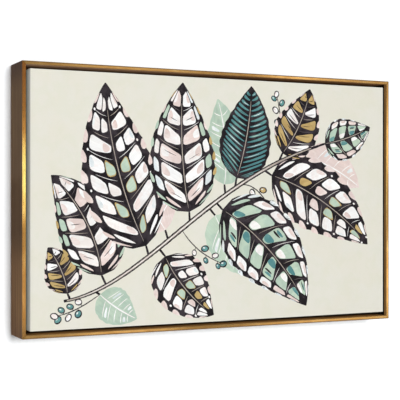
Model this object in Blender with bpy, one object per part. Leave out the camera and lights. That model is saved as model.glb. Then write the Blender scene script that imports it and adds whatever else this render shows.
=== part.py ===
"""A canvas print in a floater frame, hung on a wall by a sawtooth hanger.

Metres, +Z up. The picture faces -Y and the wall is the plane Y = 0. The origin is the middle
notch of the hanger, where the wall's nail sits.

Most pieces are laid out by two distances: inset, inwards from an outer edge of the frame, and
depth, backwards from the frame's front plane.
"""

import math

import bmesh
import bpy
from mathutils import Matrix, Vector

MM = 0.001

# Driving sizes: the frame as seen from the front, its depth, and the section of its moulding.
FRAME_WIDTH = 532 * MM
FRAME_HEIGHT = 336 * MM
FRAME_DEPTH = 52 * MM
FACE_WIDTH = 4.4 * MM
BEVEL_WIDTH = 1.3 * MM
BEVEL_DEPTH = 0.9 * MM
INNER_CHAMFER = 0.4 * MM
LEDGE_REACH = 24 * MM
LEDGE_THICKNESS = 11 * MM
SHADOW_GAP = 4.6 * MM
FIT_GAP = 0.3 * MM

# How far the frame's back stands off the wall, and its top stands above the hanger's notch.
WALL_STANDOFF = 3 * MM
TOP_ABOVE_NOTCH = 16 * MM

# Canvas, and the stretcher bars inside it.
CANVAS_RECESS = 1 * MM
CLOTH = 0.6 * MM
CANVAS_EDGE_RADIUS = 1.6 * MM
FLAP_WIDTH = 28 * MM
BAR_WIDTH = 34 * MM
BAR_LIP = 5 * MM
BAR_SLOPE_DROP = 4 * MM
BAR_EDGE_RADIUS = 0.7 * MM

# Staples. Each leans a little, as one driven by hand does.
STAPLE_CROWN = 10 * MM
STAPLE_WIRE = 0.6 * MM
STAPLE_BREADTH = 1.2 * MM
STAPLE_LEG = 7 * MM
STAPLE_INSET = 30 * MM
STAPLES_ACROSS = 9
STAPLES_UP = 5
STAPLE_END_MARGIN = 48 * MM
STAPLE_LEAN = math.radians(6)
STAPLE_LEAN_STEP = 2.4

# Pan-head screws that hold the canvas into the frame from behind.
SCREW_INSET = 16 * MM
SCREW_SPACING_ACROSS = 300 * MM
SCREW_SPACING_UP = 150 * MM
SCREW_LENGTH = 22 * MM
SCREW_RADIUS = 1.7 * MM
SCREW_POINT = 3.4 * MM
SCREW_HEAD_RADIUS = 3.6 * MM
SCREW_HEAD_EDGE = 0.8 * MM
SCREW_HEAD_DOME = 1.1 * MM
CROSS_WIDTH = 0.9 * MM
CROSS_REACH = 1.9 * MM
CROSS_DEPTH = 1.1 * MM

# Hanger: a pressed strip with flat nailed ends and a raised middle whose lower edge is notched.
HANGER_LENGTH = 48 * MM
HANGER_HEIGHT = 9 * MM
HANGER_SHEET = 0.8 * MM
HANGER_CORNER = 2 * MM
HANGER_FLAT_END = 8 * MM
HANGER_CRANK = 2 * MM
NOTCHES = 11
NOTCH_PITCH = 2.4 * MM
NOTCH_DEPTH = 1.5 * MM
NAIL_LENGTH = 9 * MM
NAIL_RADIUS = 0.9 * MM
NAIL_POINT = 1.8 * MM
NAIL_HEAD_RADIUS = 2 * MM
NAIL_HEAD_EDGE = 0.3 * MM
NAIL_HEAD_DOME = 0.3 * MM

# Bumpers that keep the lower edge as far off the wall as the hanger keeps the upper one.
BUMPER_RADIUS = 5 * MM
BUMPER_ROUNDING = 0.7 * MM
BUMPER_FROM_SIDE = 28 * MM
BUMPER_FROM_BOTTOM = 12 * MM

ROUND_SIDES = 16
ARC_STEPS = 3
SHARP_ANGLE = math.radians(40)
POINT_TIP = 0.2

# Sizes and planes that follow.
CANVAS_INSET = FACE_WIDTH + SHADOW_GAP
FRAME_CENTRE_Z = TOP_ABOVE_NOTCH - FRAME_HEIGHT / 2
BACK_Y = -WALL_STANDOFF
FRONT_Y = BACK_Y - FRAME_DEPTH
LEDGE_FRONT = FRAME_DEPTH - LEDGE_THICKNESS
CANVAS_BACK = LEDGE_FRONT - FIT_GAP
STAPLE_SEAT = CANVAS_BACK + FIT_GAP
BAR_INSET = CANVAS_INSET + CLOTH + FIT_GAP
BAR_FRONT = CANVAS_RECESS + CLOTH + FIT_GAP
BAR_BACK = CANVAS_BACK - CLOTH - FIT_GAP
HANGER_TOP = HANGER_HEIGHT - NOTCH_DEPTH
HANGER_MIDDLE_Z = HANGER_TOP - HANGER_HEIGHT / 2
HANGER_SEAT_Y = BACK_Y + FIT_GAP
NAIL_X = (HANGER_LENGTH - HANGER_FLAT_END) / 2

# Colour, roughness and metallic value of each surface.
SURFACES = {
    "antique_gold": ((0.42, 0.25, 0.09), 0.42, 0.75),
    "pine": ((0.72, 0.53, 0.32), 0.7, 0.0),
    "painted_canvas": ((0.79, 0.77, 0.68), 0.85, 0.0),
    "steel": ((0.58, 0.58, 0.57), 0.35, 1.0),
    "zinc_plate": ((0.66, 0.62, 0.5), 0.38, 1.0),
    "rubber": ((0.045, 0.042, 0.04), 0.8, 0.0),
}

# The four sides: how far each is turned about Y, its length, and the size across it. A side has
# its own axes: X along it, Z inwards from the frame's outer edge, and Y backwards.
SIDES = {
    "top": (math.radians(180), FRAME_WIDTH, FRAME_HEIGHT),
    "bottom": (0, FRAME_WIDTH, FRAME_HEIGHT),
    "left": (math.radians(90), FRAME_HEIGHT, FRAME_WIDTH),
    "right": (math.radians(270), FRAME_HEIGHT, FRAME_WIDTH),
}


def clear_scene():
    for obj in list(bpy.data.objects):
        bpy.data.objects.remove(obj)


def surface(name):
    """The material of that name, made once."""
    found = bpy.data.materials.get(name)
    if found:
        return found
    colour, roughness, metallic = SURFACES[name]
    made = bpy.data.materials.new(name)
    made.use_nodes = True
    shader = made.node_tree.nodes["Principled BSDF"]
    shader.inputs["Base Color"].default_value = (*colour, 1)
    shader.inputs["Roughness"].default_value = roughness
    shader.inputs["Metallic"].default_value = metallic
    made.diffuse_color = (*colour, 1)
    return made


def mesh_from(name, bm):
    """The bmesh as a mesh with its faces pointing out."""
    bmesh.ops.recalc_face_normals(bm, faces=bm.faces)
    mesh = bpy.data.meshes.new(name)
    bm.to_mesh(mesh)
    bm.free()
    return mesh


def add_object(name, mesh, matrix):
    obj = bpy.data.objects.new(name, mesh)
    bpy.context.scene.collection.objects.link(obj)
    obj.matrix_world = matrix
    return obj


def add_piece(name, mesh, surface_name, matrix=Matrix()):
    if not mesh.materials:
        mesh.materials.append(surface(surface_name))
    return add_object(name, mesh, matrix)


def cut(obj, cutter_mesh):
    """Takes the mesh's shape, given in the object's own axes, out of the object."""
    name = obj.name + "_cutter"
    cutter = add_object(name, cutter_mesh, obj.matrix_world.copy())
    cutter.hide_render = True
    cutter.display_type = "WIRE"
    difference = obj.modifiers.new(name, "BOOLEAN")
    difference.operation = "DIFFERENCE"
    difference.solver = "EXACT"
    difference.object = cutter


def smooth_round(mesh):
    """Shades the mesh smooth, with its real edges kept."""
    mesh.shade_smooth()
    mesh.set_sharp_from_angle(angle=SHARP_ANGLE)


def arc(centre, radii, start, end):
    """Points of a round stretch between two angles in degrees, as pairs."""
    points = []
    for step in range(ARC_STEPS + 1):
        angle = math.radians(start + (end - start) * step / ARC_STEPS)
        across = centre[0] + radii[0] * math.cos(angle)
        along = centre[1] + radii[1] * math.sin(angle)
        points.append((across, along))
    return points


def bridge(bm, first, second):
    """Faces between two rings with as many corners."""
    count = len(first)
    for i in range(count):
        j = (i + 1) % count
        bm.faces.new((first[i], first[j], second[j], second[i]))


def add_turned(bm, profile, centre=(0, 0, 0)):
    """A closed round solid about Y. The profile is pairs of radius and y, and its ends are capped."""
    rings = []
    for radius, y in profile:
        ring = []
        for i in range(ROUND_SIDES):
            angle = 2 * math.pi * i / ROUND_SIDES
            corner = Vector((radius * math.cos(angle), y, radius * math.sin(angle)))
            ring.append(bm.verts.new(corner + Vector(centre)))
        rings.append(ring)
    for ring, following in zip(rings, rings[1:]):
        bridge(bm, ring, following)
    bm.faces.new(rings[0])
    bm.faces.new(rings[-1])


def add_box(bm, centre, size, matrix=Matrix()):
    place = matrix @ Matrix.Translation(centre) @ Matrix.Diagonal((*size, 1))
    bmesh.ops.create_cube(bm, size=1, matrix=place)


def add_prism(bm, outline, direction):
    """A closed solid from a flat outline of points, moved along the direction."""
    flat = bm.faces.new([bm.verts.new(point) for point in outline])
    moved = bmesh.ops.extrude_face_region(bm, geom=[flat])["geom"]
    verts = [item for item in moved if isinstance(item, bmesh.types.BMVert)]
    bmesh.ops.translate(bm, vec=direction, verts=verts)


def side_matrix(side):
    """From a side's own axes to the world's."""
    turn, _, across = SIDES[side]
    middle = Matrix.Translation((0, 0, FRAME_CENTRE_Z))
    return middle @ Matrix.Rotation(turn, 4, "Y") @ Matrix.Translation((0, 0, -across / 2))


def mitred_mesh(name, length, profile):
    """A moulding along X, mitred at both ends. The profile is pairs of inset and depth."""
    bm = bmesh.new()
    trim = FIT_GAP / math.sqrt(2)
    ends = []
    for direction in (-1, 1):
        ring = []
        for inset, depth in profile:
            x = direction * (length / 2 - inset - trim)
            ring.append(bm.verts.new((x, FRONT_Y + depth, inset)))
        ends.append(ring)
    bridge(bm, *ends)
    for ring in ends:
        bm.faces.new(ring)
    return mesh_from(name, bm)


def frame_profile():
    """The floater moulding's L: a thin wall with a narrow face, and a ledge at its back."""
    return [
        (0, BEVEL_DEPTH),
        (BEVEL_WIDTH, 0),
        (FACE_WIDTH - INNER_CHAMFER, 0),
        (FACE_WIDTH, INNER_CHAMFER),
        (FACE_WIDTH, LEDGE_FRONT),
        (LEDGE_REACH, LEDGE_FRONT),
        (LEDGE_REACH, FRAME_DEPTH),
        (0, FRAME_DEPTH),
    ]


def bar_profile():
    """A stretcher bar: a rounded lip that carries the cloth, and a slope that stays clear of it."""
    centre = (BAR_INSET + BAR_EDGE_RADIUS, BAR_FRONT + BAR_EDGE_RADIUS)
    return [
        *arc(centre, (BAR_EDGE_RADIUS, BAR_EDGE_RADIUS), 180, 270),
        (BAR_INSET + BAR_LIP, BAR_FRONT),
        (BAR_INSET + BAR_WIDTH, BAR_FRONT + BAR_SLOPE_DROP),
        (BAR_INSET + BAR_WIDTH, BAR_BACK),
        (BAR_INSET, BAR_BACK),
    ]


def canvas_profile():
    """The cloth's section, from its painted front, round the back, to the front's inner side."""
    centre = (CANVAS_INSET + CANVAS_EDGE_RADIUS, CANVAS_RECESS + CANVAS_EDGE_RADIUS)
    inner_radius = CANVAS_EDGE_RADIUS - CLOTH
    flap_edge = CANVAS_INSET + FLAP_WIDTH
    return [
        *arc(centre, (CANVAS_EDGE_RADIUS, CANVAS_EDGE_RADIUS), 270, 180),
        (CANVAS_INSET, CANVAS_BACK),
        (flap_edge, CANVAS_BACK),
        (flap_edge, CANVAS_BACK - CLOTH),
        (CANVAS_INSET + CLOTH, CANVAS_BACK - CLOTH),
        *arc(centre, (inner_radius, inner_radius), 180, 270),
    ]


def screw_places(side):
    """The side's screws, as points along it and in from its edge."""
    spacing = SCREW_SPACING_ACROSS if SIDES[side][1] == FRAME_WIDTH else SCREW_SPACING_UP
    return [(x, SCREW_INSET) for x in (-spacing / 2, spacing / 2)]


def staple_matrices(side):
    """Places the side's staples in the side's own axes."""
    length = SIDES[side][1]
    count = STAPLES_ACROSS if length == FRAME_WIDTH else STAPLES_UP
    reach = length / 2 - STAPLE_END_MARGIN
    matrices = []
    for i in range(count):
        x = reach * (2 * i / (count - 1) - 1)
        lean = STAPLE_LEAN * math.sin(STAPLE_LEAN_STEP * (i + count))
        place = Matrix.Translation((x, FRONT_Y + STAPLE_SEAT, STAPLE_INSET))
        matrices.append(place @ Matrix.Rotation(lean, 4, "Y"))
    return matrices


def add_screw_holes(bm, side, front_y):
    """Clearance for the side's screws, from the front plane given to behind the frame."""
    radius = SCREW_RADIUS + FIT_GAP
    for x, inset in screw_places(side):
        add_turned(bm, [(radius, front_y), (radius, BACK_Y + FIT_GAP)], (x, 0, inset))


def add_staple_holes(bm, side):
    """Clearance for the legs of the side's staples."""
    size = (STAPLE_WIRE + 2 * FIT_GAP, STAPLE_LEG + 2 * FIT_GAP, STAPLE_BREADTH + 2 * FIT_GAP)
    for matrix in staple_matrices(side):
        for direction in (-1, 1):
            x = direction * (STAPLE_CROWN - STAPLE_WIRE) / 2
            add_box(bm, (x, -STAPLE_LEG / 2, 0), size, matrix)


def add_bar_holes(bm, side):
    """Every hole that the side's fasteners need in the canvas and the bar under it."""
    add_screw_holes(bm, side, BACK_Y - SCREW_LENGTH)
    add_staple_holes(bm, side)


def add_hanger_nail_holes(bm):
    """Blind holes in the top rail, in that rail's own axes."""
    radius = NAIL_RADIUS + FIT_GAP
    inset = TOP_ABOVE_NOTCH - HANGER_MIDDLE_Z
    for x in (-NAIL_X, NAIL_X):
        add_turned(bm, [(radius, BACK_Y - NAIL_LENGTH), (radius, BACK_Y + FIT_GAP)], (x, 0, inset))


def make_frame():
    for side, (_, length, _) in SIDES.items():
        name = f"frame_{side}_rail"
        mesh = mitred_mesh(name, length, frame_profile())
        rail = add_piece(name, mesh, "antique_gold", side_matrix(side))
        holes = bmesh.new()
        add_screw_holes(holes, side, FRONT_Y + LEDGE_FRONT - FIT_GAP)
        if side == "top":
            add_hanger_nail_holes(holes)
        cut(rail, mesh_from(name + "_holes", holes))


def make_stretcher():
    for side, (_, length, _) in SIDES.items():
        name = f"stretcher_{side}_bar"
        bar = add_piece(name, mitred_mesh(name, length, bar_profile()), "pine", side_matrix(side))
        holes = bmesh.new()
        add_bar_holes(holes, side)
        cut(bar, mesh_from(name + "_holes", holes))


def make_canvas():
    """The cloth as rings of four corners, one ring for each point of its section."""
    bm = bmesh.new()
    rings = []
    for inset, depth in canvas_profile():
        right = FRAME_WIDTH / 2 - inset
        top = FRAME_CENTRE_Z + FRAME_HEIGHT / 2 - inset
        bottom = FRAME_CENTRE_Z - FRAME_HEIGHT / 2 + inset
        y = FRONT_Y + depth
        corners = [(-right, y, bottom), (right, y, bottom), (right, y, top), (-right, y, top)]
        rings.append([bm.verts.new(corner) for corner in corners])
    for ring, following in zip(rings, rings[1:]):
        bridge(bm, ring, following)
    bm.faces.new(rings[0])
    bm.faces.new(rings[-1])
    mesh = mesh_from("canvas", bm)
    smooth_round(mesh)
    canvas = add_piece("canvas", mesh, "painted_canvas")
    holes = bmesh.new()
    for side in SIDES:
        side_holes = bmesh.new()
        add_bar_holes(side_holes, side)
        side_mesh = mesh_from(f"canvas_{side}_holes", side_holes)
        side_mesh.transform(side_matrix(side))
        holes.from_mesh(side_mesh)
    cut(canvas, mesh_from("canvas_holes", holes))


def staple_mesh():
    """A staple with its crown along X on the plane Y = 0, and its legs towards -Y."""
    outer = STAPLE_CROWN / 2
    inner = outer - STAPLE_WIRE
    outline = [
        (-outer, STAPLE_WIRE),
        (outer, STAPLE_WIRE),
        (outer, -STAPLE_LEG),
        (inner, -STAPLE_LEG),
        (inner, 0),
        (-inner, 0),
        (-inner, -STAPLE_LEG),
        (-outer, -STAPLE_LEG),
    ]
    bm = bmesh.new()
    flat = [(x, y, -STAPLE_BREADTH / 2) for x, y in outline]
    add_prism(bm, flat, (0, 0, STAPLE_BREADTH))
    return mesh_from("staple", bm)


def make_staples():
    mesh = staple_mesh()
    number = 0
    for side in SIDES:
        for matrix in staple_matrices(side):
            number += 1
            add_piece(f"canvas_staple_{number:02d}", mesh, "steel", side_matrix(side) @ matrix)


def domed_head(radius, edge, dome):
    """The half outline of a head that stands on Y = 0: a straight edge under a low dome."""
    return [(radius, 0), *arc((0, edge), (radius, dome), 0, 90)[:-1]]


def pointed_shank(radius, length, point):
    """The half outline of a shank below Y = 0, from its point up."""
    return [(radius * POINT_TIP, -length), (radius, point - length), (radius, 0)]


def screw_mesh():
    bm = bmesh.new()
    shank = pointed_shank(SCREW_RADIUS, SCREW_LENGTH, SCREW_POINT)
    head = domed_head(SCREW_HEAD_RADIUS, SCREW_HEAD_EDGE, SCREW_HEAD_DOME)
    add_turned(bm, shank + head)
    mesh = mesh_from("screw", bm)
    smooth_round(mesh)
    return mesh


def cross_mesh():
    """The cross that a screwdriver turns, down from the top of a screw's head."""
    half = CROSS_WIDTH / 2
    arm = [Vector((CROSS_REACH, 0, -half)), Vector((CROSS_REACH, 0, half)), Vector((half, 0, half))]
    floor = Vector((0, SCREW_HEAD_EDGE + SCREW_HEAD_DOME - CROSS_DEPTH, 0))
    outline = []
    for quarter in range(4):
        turn = Matrix.Rotation(-quarter * math.pi / 2, 3, "Y")
        outline.extend(turn @ corner + floor for corner in arm)
    bm = bmesh.new()
    add_prism(bm, outline, (0, 2 * CROSS_DEPTH, 0))
    return mesh_from("screw_cross", bm)


def make_screws():
    mesh = screw_mesh()
    cross = cross_mesh()
    number = 0
    for side in SIDES:
        for x, inset in screw_places(side):
            number += 1
            place = side_matrix(side) @ Matrix.Translation((x, BACK_Y + FIT_GAP, inset))
            screw = add_piece(f"ledge_screw_{number}", mesh, "steel", place)
            cut(screw, cross)


def hanger_stations():
    """Along the hanger: x, lower edge, upper edge, and the strip's near face."""
    end = HANGER_LENGTH / 2
    flat = end - HANGER_FLAT_END
    raised = flat - HANGER_CRANK
    low = -NOTCH_DEPTH
    raised_y = -HANGER_SHEET
    left = [
        (-end, low + HANGER_CORNER, HANGER_TOP - HANGER_CORNER, HANGER_SEAT_Y),
        (-end + HANGER_CORNER, low, HANGER_TOP, HANGER_SEAT_Y),
        (-flat, low, HANGER_TOP, HANGER_SEAT_Y),
        (-raised, low, HANGER_TOP, raised_y),
    ]
    middle = []
    for i in range(2 * NOTCHES + 1):
        x = (i - NOTCHES) * NOTCH_PITCH / 2
        edge = 0 if i % 2 else low
        middle.append((x, edge, HANGER_TOP, raised_y))
    right = [(-x, *rest) for x, *rest in reversed(left)]
    return left + middle + right


def make_hanger():
    bm = bmesh.new()
    rings = []
    for x, low, high, near in hanger_stations():
        far = near + HANGER_SHEET
        corners = [(x, near, low), (x, far, low), (x, far, high), (x, near, high)]
        rings.append([bm.verts.new(corner) for corner in corners])
    for ring, following in zip(rings, rings[1:]):
        bridge(bm, ring, following)
    bm.faces.new(rings[0])
    bm.faces.new(rings[-1])
    hanger = add_piece("sawtooth_hanger", mesh_from("sawtooth_hanger", bm), "zinc_plate")
    holes = bmesh.new()
    radius = NAIL_RADIUS + FIT_GAP
    through = [(radius, BACK_Y), (radius, BACK_Y + 2 * HANGER_SHEET)]
    for x in (-NAIL_X, NAIL_X):
        add_turned(holes, through, (x, 0, HANGER_MIDDLE_Z))
    cut(hanger, mesh_from("hanger_holes", holes))


def make_hanger_nails():
    bm = bmesh.new()
    shank = pointed_shank(NAIL_RADIUS, NAIL_LENGTH, NAIL_POINT)
    add_turned(bm, shank + domed_head(NAIL_HEAD_RADIUS, NAIL_HEAD_EDGE, NAIL_HEAD_DOME))
    mesh = mesh_from("hanger_nail", bm)
    smooth_round(mesh)
    seat = HANGER_SEAT_Y + HANGER_SHEET + FIT_GAP
    for name, x in (("left", -NAIL_X), ("right", NAIL_X)):
        place = Matrix.Translation((x, seat, HANGER_MIDDLE_Z))
        add_piece(f"hanger_nail_{name}", mesh, "steel", place)


def make_bumpers():
    bm = bmesh.new()
    centre = (BUMPER_RADIUS - BUMPER_ROUNDING, -BUMPER_ROUNDING)
    rounding = arc(centre, (BUMPER_ROUNDING, BUMPER_ROUNDING), 0, 90)
    add_turned(bm, [(BUMPER_RADIUS, BACK_Y + FIT_GAP), *rounding])
    mesh = mesh_from("bumper", bm)
    smooth_round(mesh)
    z = TOP_ABOVE_NOTCH - FRAME_HEIGHT + BUMPER_FROM_BOTTOM
    reach = FRAME_WIDTH / 2 - BUMPER_FROM_SIDE
    for name, x in (("left", -reach), ("right", reach)):
        add_piece(f"bumper_{name}", mesh, "rubber", Matrix.Translation((x, 0, z)))


def main():
    clear_scene()
    make_frame()
    make_stretcher()
    make_canvas()
    make_staples()
    make_screws()
    make_hanger()
    make_hanger_nails()
    make_bumpers()


main()
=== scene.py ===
"""Looks for a framed canvas print on a white wall: materials, painted cloth, light and camera.

The picture on the canvas is a generic design, a leafy bough, drawn in code as flat shapes that
are cut into the cloth's front. Lengths are in metres, unless a comment or a name says millimetres.
"""
import math
import random

import bpy
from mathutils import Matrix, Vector
from mathutils.geometry import delaunay_2d_cdt


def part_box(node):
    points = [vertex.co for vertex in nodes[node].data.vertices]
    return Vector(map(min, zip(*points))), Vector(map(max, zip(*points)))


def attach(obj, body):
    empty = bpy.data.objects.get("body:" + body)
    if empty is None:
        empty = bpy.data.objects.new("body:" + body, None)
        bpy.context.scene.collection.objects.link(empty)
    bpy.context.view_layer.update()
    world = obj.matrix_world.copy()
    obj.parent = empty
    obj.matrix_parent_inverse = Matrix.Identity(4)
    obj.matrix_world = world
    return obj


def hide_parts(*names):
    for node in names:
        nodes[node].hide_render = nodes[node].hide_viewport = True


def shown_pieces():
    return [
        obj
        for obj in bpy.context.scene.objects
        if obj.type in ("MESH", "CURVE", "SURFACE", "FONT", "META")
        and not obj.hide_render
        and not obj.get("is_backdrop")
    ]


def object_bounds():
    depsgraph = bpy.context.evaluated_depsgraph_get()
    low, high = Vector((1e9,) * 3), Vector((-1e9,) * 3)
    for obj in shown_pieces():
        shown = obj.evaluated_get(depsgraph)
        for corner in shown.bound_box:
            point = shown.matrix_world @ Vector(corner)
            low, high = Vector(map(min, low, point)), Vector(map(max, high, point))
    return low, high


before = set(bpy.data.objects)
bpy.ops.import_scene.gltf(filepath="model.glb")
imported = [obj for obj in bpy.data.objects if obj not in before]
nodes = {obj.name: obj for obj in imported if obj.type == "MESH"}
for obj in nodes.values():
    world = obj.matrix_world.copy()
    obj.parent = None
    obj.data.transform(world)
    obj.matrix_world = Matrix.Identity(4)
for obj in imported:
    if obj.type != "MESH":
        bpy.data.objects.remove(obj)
cad_low, cad_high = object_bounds()

MM = 0.001

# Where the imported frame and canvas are. The cloth's half sizes are in millimetres.
RAIL_LOW, RAIL_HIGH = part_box("frame_left_rail")
FRONT_Y = RAIL_LOW.y
HALF_WIDTH = cad_high.x
FRAME_TOP, FRAME_BOTTOM = RAIL_HIGH.z, RAIL_LOW.z
CENTRE_Z = (FRAME_TOP + FRAME_BOTTOM) / 2
CLOTH_LOW, CLOTH_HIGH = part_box("canvas")
CLOTH_HALF_WIDTH = (CLOTH_HIGH.x - CLOTH_LOW.x) / 2 / MM
CLOTH_HALF_HEIGHT = (CLOTH_HIGH.z - CLOTH_LOW.z) / 2 / MM

# The camera, fitted to the photograph's frame corners.
CAMERA_PLACE = (-0.6085, -1.2836, -0.1521)
CAMERA_YAW_DEG = 25.205
CAMERA_LENS_MM = 94.2
SENSOR_MM = 36.0

# The room.
FLOOR_Z = -1.25
ROOM_REACH = 4.0
WALL_TOP = 2.2

# The cloth's section and its points, in millimetres, but SIDE_ROWS are shares of the side's depth.
# The last of FLAP_ROWS is the flap's raw edge.
CLOTH_THICKNESS = 0.6
FRONT_RADIUS = 1.0
BACK_RADIUS = 1.2
SIDE_ROWS = [0.25, 0.5, 0.75]
FLAP_ROWS = [9.0, 18.0, 28.0]
RAGGED_EDGE = 0.5
CORNER_RADIUS = 1.3
SMALLEST_RADIUS = 0.2
ARC_STEPS = 5
POINT_SPACING = 8.0

# A corner tuck, in millimetres from the cloth's two outer edges: from TUCK_START, clear of the
# frame's ledge, along the mitre to TUCK_END, and sideways to TUCK_REACH, clear of the next staple.
# TUCK_RISE is how high it stands off the flap, from the fold's edge to its far side, and TUCK_SINK
# where its underside lies. TUCK_WANDER shifts each row sideways, apart from the fold's edge, and
# TUCK_RIPPLE is how much its rise varies.
TUCK_START = 15.5
TUCK_END = 28.3
TUCK_REACH = 31.5
TUCK_STEPS = 8
TUCK_RISE = [0.22, 0.78, 1.02, 1.08, 1.00, 0.90, 0.80, 0.70, 0.10]
TUCK_SINK = -0.12
TUCK_WANDER = 0.25
TUCK_RIPPLE = 0.08
TUCK_RIPPLE_TURN = 2.2

PAINT_SEED = 11

# Faces that no painted shape covers: the bare front, the cloth round its sides, and the fold
# between. Their paints end the list of paints, in the order of UNPAINTED, so they count from its end.
GROUND = -1
EDGE = -2
FOLD = -3
UNPAINTED = ["fold", "edge", "ground"]

# Paints of the picture, in display red, green and blue: each one's tone and the one it drifts to.
PAINTS = {
    "ground": ((227, 225, 215), (225, 224, 212)),
    # The fold's paint is lighter than the ground: a painted highlight along the rolled front edge.
    "fold": ((238, 239, 231), (238, 239, 231)),
    # The edge is primed white, tinted green and lightened as painted cool light on the shaded sides.
    "edge": ((240, 248, 240), (240, 248, 240)),
    "ink": ((30, 25, 30), (58, 51, 57)),
    "smoke": ((104, 96, 100), (78, 70, 76)),
    "white": ((246, 246, 247), (241, 235, 234)),
    "blush": ((226, 208, 204), (236, 222, 219)),
    "sage": ((190, 209, 192), (178, 200, 185)),
    "teal": ((84, 136, 140), (104, 154, 153)),
    "deep": ((62, 92, 96), (70, 104, 106)),
    "gold": ((197, 171, 116), (182, 154, 100)),
    "mist": ((221, 229, 233), (238, 241, 242)),
    "taupe": ((188, 178, 168), (168, 157, 150)),
}


def linear(red, green, blue):
    """A display colour, 0 to 255, as Blender's scene colour."""

    def channel(value):
        value /= 255
        return value / 12.92 if value <= 0.04045 else ((value + 0.055) / 1.055) ** 2.4

    return (channel(red), channel(green), channel(blue), 1.0)


def mix(a, b, share):
    return a + (b - a) * share


def add_object(name, data):
    made = bpy.data.objects.new(name, data)
    bpy.context.scene.collection.objects.link(made)
    return made


# Materials


class Surface:
    """A node material with one Principled shader, built up by small calls."""

    def __init__(self, name, **sockets):
        self.material = bpy.data.materials.new(name)
        self.material.use_nodes = True
        self.tree = self.material.node_tree
        self.shader = self.tree.nodes["Principled BSDF"]
        self.set(self.shader, **sockets)
        self.place = self.node("ShaderNodeTexCoord").outputs["Object"]
        split = self.node("ShaderNodeSeparateXYZ")
        self.tree.links.new(self.place, split.inputs[0])
        self.x, self.y, self.z = split.outputs

    def node(self, kind, **settings):
        made = self.tree.nodes.new(kind)
        for key, value in settings.items():
            setattr(made, key, value)
        return made

    def put(self, socket, value):
        """Links a socket, or sets it where the value is plain."""
        if isinstance(value, bpy.types.NodeSocket):
            self.tree.links.new(value, socket)
        else:
            socket.default_value = value

    def set(self, node, **values):
        """Links or sets sockets by name, with _ for a space, apart from those whose value is None."""
        for name, value in values.items():
            if value is not None:
                self.put(node.inputs[name.replace("_", " ")], value)

    def fill(self, node, *values):
        """Links or sets a node's first sockets, and gives its first output."""
        for socket, value in zip(node.inputs, values):
            self.put(socket, value)
        return node.outputs[0]

    def math(self, operation, *values):
        return self.fill(self.node("ShaderNodeMath", operation=operation), *values)

    def weigh(self, *pairs, offset=None):
        """The sum of values, each times its weight, plus an offset."""
        total = None
        for value, weight in pairs:
            part = self.math("MULTIPLY", value, weight)
            total = part if total is None else self.math("ADD", total, part)
        return total if offset is None else self.math("ADD", total, offset)

    def step(self, value, low, high, start=0.0, end=1.0):
        """start below low, end above high, and a smooth way between them."""
        made = self.node("ShaderNodeMapRange", interpolation_type="SMOOTHSTEP")
        return self.fill(made, value, low, high, start, end)

    def blend(self, share, first, second, kind="MIX"):
        made = self.node("ShaderNodeMix", data_type="RGBA", blend_type=kind)
        self.put(made.inputs[0], share)
        self.put(made.inputs[6], first)
        self.put(made.inputs[7], second)
        return made.outputs[2]

    def stretch(self, x, y, z, source=None):
        """The place with each axis scaled, in cycles a metre."""
        made = self.node("ShaderNodeVectorMath", operation="MULTIPLY")
        return self.fill(made, source or self.place, (x, y, z))

    def noise(self, place, scale=1.0, detail=3.0, roughness=0.5, distortion=0.0):
        made = self.node("ShaderNodeTexNoise")
        self.set(made, Vector=place, Scale=scale, Detail=detail)
        self.set(made, Roughness=roughness, Distortion=distortion)
        return made.outputs[0]

    def ramp(self, value, *stops):
        """Colours by value: each stop is (place, display colour)."""
        made = self.node("ShaderNodeValToRGB")
        self.put(made.inputs[0], value)
        marks = made.color_ramp.elements
        while len(marks) < len(stops):
            marks.new(0.5)
        for mark, (place, colour) in zip(marks, stops):
            mark.position = place
            mark.color = linear(*colour)
        return made.outputs[0]

    def finish(self, colour, height, distance, strength, roughness=None, metallic=None):
        """Links what varies to the shader. height is 0 to 1, and distance is how high 1 stands."""
        bump = self.node("ShaderNodeBump")
        self.set(bump, Strength=strength, Distance=distance, Height=height)
        self.set(self.shader, Base_Color=colour, Roughness=roughness, Metallic=metallic)
        self.set(self.shader, Normal=bump.outputs[0])
        return self.material


def along(axis, lengthwise, crosswise):
    """Scales for Surface.stretch: one for the piece's length, another for both other axes."""
    if axis == "X":
        return lengthwise, crosswise, crosswise
    return crosswise, crosswise, lengthwise


# Painted light and shade on the left side's bronze: from the first height to the second, and on
# beyond it, its colour changes by this much red, green and blue.
SIDE_LIGHT_AND_SHADE = [
    (-0.022, 0.018, (0.60, 0.57, 0.74)),
    (-0.120, -0.134, (0.80, 0.76, 0.70)),
    (-0.190, -0.245, (1.785, 1.71, 1.545)),
    (-0.285, -0.325, (0.82, 0.80, 0.92)),
]
# The same for the leaf on the left length's face: painted highlights and shade along its gold.
LEAF_HIGHLIGHT_BANDS = [
    (-0.112, -0.060, (0.84, 0.59, 0.47)),
    (-0.134, -0.168, (0.95, 0.75, 0.66)),
    (-0.172, -0.195, (0.84, 0.86, 0.86)),
    (-0.198, -0.228, (1.25, 1.38, 1.36)),
    (-0.298, -0.315, (0.82, 0.84, 0.86)),
]

# Depths from the frame's front at which its leafed face ends and its bare wooden back begins, and
# how far in from its outer edges the bronze of the sides gives way to the inner wall.
FACE_ENDS = (0.95 * MM, 1.25 * MM)
BACK_BEGINS = (51.2 * MM, 51.8 * MM)
SIDE_ENDS = (1.2 * MM, 1.9 * MM)
# How far from the frame's left side a point still lies on it.
ON_LEFT_SIDE = 1.0 * MM
# Painted light: the inner wall's front part may have another colour at the left. It changes between
# these places.
INNER_LIGHT_CHANGE = (-0.16, 0.02)


# Multiplies bands of painted light and shade into a colour, where the mask is 1.
def paint_light_bands(s, colour, bands, where):
    for start, end, change in bands:
        share = s.math("MULTIPLY", s.step(s.z, start, end), where)
        colour = s.blend(share, colour, (*change, 1), "MULTIPLY")
    return colour


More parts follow.
